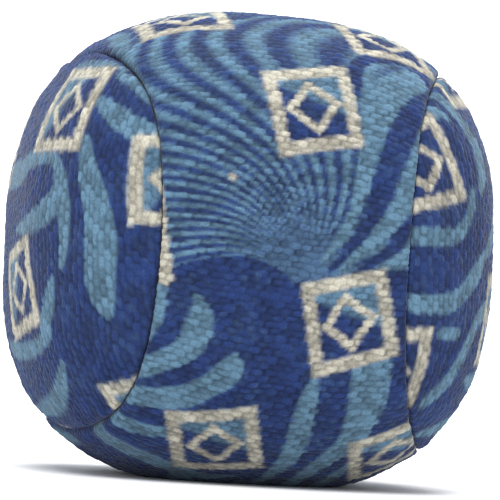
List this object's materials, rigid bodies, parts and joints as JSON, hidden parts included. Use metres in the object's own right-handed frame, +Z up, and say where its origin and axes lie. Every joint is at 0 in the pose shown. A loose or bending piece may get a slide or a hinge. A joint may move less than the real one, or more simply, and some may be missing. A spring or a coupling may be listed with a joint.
{
  "type": "juggling ball",
  "caption": "Soft stuffed juggling ball: interlocking knitted panels with turned-in edges, sewn along a single closed seam round a seed filling.",
  "frame": {"origin": "middle of the flattened foot that the ball rests on", "axes": "+Z up, -Y towards the front panel's narrow waist, +X to the right when the waist is seen from the front"},
  "size_m": [0.066, 0.065, 0.0641],
  "materials": {
    "front_cloth": "printed purl knit, rows across the waist",
    "rear_cloth": "printed purl knit, rows turned a quarter turn",
    "sewing_thread": "twisted polyester",
    "closing_thread": "twisted polyester, doubled",
    "seed": "dry millet, stands in for loose grain"
  },
  "bodies": {
    "root": {"panel_front": "front_cloth", "panel_rear": "rear_cloth", "needle_thread": "sewing_thread", "bobbin_thread": "sewing_thread", "closing_thread": "closing_thread", "seed_filling": "seed"}
  },
  "joints": []
}
